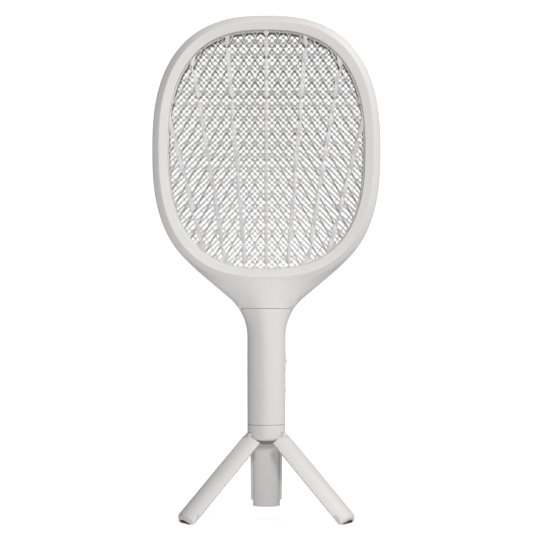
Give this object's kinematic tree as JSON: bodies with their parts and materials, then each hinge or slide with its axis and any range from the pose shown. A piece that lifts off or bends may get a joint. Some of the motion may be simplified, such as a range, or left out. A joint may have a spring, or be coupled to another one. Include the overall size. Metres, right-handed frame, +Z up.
{
  "type": "electric fly swatter",
  "caption": "Electric fly swatter: oval racket head with guarded metal nets on a round handle whose lower end opens into a tripod stand.",
  "frame": {"origin": "on the floor, under the middle of the standing object's box; the handle's axis is 18.1 mm in front of it", "axes": "+Z up along the handle, front of the racket towards -Y, controls on the +X side"},
  "size_m": [0.22, 0.1486, 0.4843],
  "materials": {
    "shell": "warm light grey ABS with a fine satin moulding texture",
    "control_plastic": "warm light grey, slightly smoother than the casing",
    "net_metal": "dull grey woven wire",
    "steel": "plain zinc-plated steel",
    "rubber": "matte dark grey rubber",
    "board": "green solder-masked laminate",
    "component_plastic": "black moulded component",
    "cell_wrap": "blue shrink wrap",
    "yellow_film": "yellow winding tape",
    "light_pipe": "milky translucent plastic",
    "red_lead": "red wire insulation",
    "black_lead": "black wire insulation"
  },
  "bodies": {
    "racket": {"head_front_frame": "shell", "head_rear_frame": "shell", "front_grille": "shell", "rear_grille": "shell", "front_net": "net_metal", "rear_net": "net_metal", "net_spacer": "shell", "handle_front_shell": "shell", "handle_rear_shell": "shell", "switch_bezel": "control_plastic", "slide_switch_body": "component_plastic", "tact_switch": "component_plastic", "circuit_board": "board", "hv_transformer": "yellow_film", "hv_capacitor": "cell_wrap", "battery_cell": "cell_wrap", "charge_board": "board", "charge_socket": "steel", "charge_light": "light_pipe", "live_lead": "red_lead", "ground_lead": "black_lead", "ring_screw_1": "steel", "ring_screw_2": "steel", "ring_screw_3": "steel", "ring_screw_4": "steel", "neck_screw": "steel", "handle_screw_1": "steel", "handle_screw_2": "steel", "tripod_hub": "shell", "hinge_pin_front_left": "steel", "hinge_pin_front_right": "steel", "hinge_pin_rear": "steel"},
    "leg_front_left": {"leg_shell_front_left": "shell", "leg_cover_front_left": "shell", "foot_pad_front_left": "rubber"},
    "leg_front_right": {"leg_shell_front_right": "shell", "leg_cover_front_right": "shell", "foot_pad_front_right": "rubber"},
    "leg_rear": {"leg_shell_rear": "shell", "leg_cover_rear": "shell", "foot_pad_rear": "rubber"},
    "mode_slider": {"mode_slider": "control_plastic"},
    "trigger": {"trigger_button": "control_plastic", "tact_plunger": "component_plastic"}
  },
  "joints": [
    {"name": "front_left_leg_fold", "type": "hinge", "parent": "racket", "child": "leg_front_left", "pos_m": [-0.01143, -0.0247, 0.0823], "axis": [0.5, -0.866, 0], "range_deg": [0, 44.5]},
    {"name": "front_right_leg_fold", "type": "hinge", "parent": "racket", "child": "leg_front_right", "pos_m": [0.01143, -0.0247, 0.0823], "axis": [0.5, 0.866, 0], "range_deg": [0, 44.5]},
    {"name": "rear_leg_fold", "type": "hinge", "parent": "racket", "child": "leg_rear", "pos_m": [0, -0.0049, 0.0823], "axis": [-1, 0, 0], "range_deg": [0, 44.5]},
    {"name": "mode_slide", "type": "slide", "parent": "racket", "child": "mode_slider", "axis": [0, 0, 1], "range_m": [-0.003, 0.003]},
    {"name": "trigger_press", "type": "slide", "parent": "racket", "child": "trigger", "axis": [-1, 0, 0], "range_m": [0, 0.0008], "stiffness_N_per_m": 1500, "springref_m": -0.0004}
  ]
}
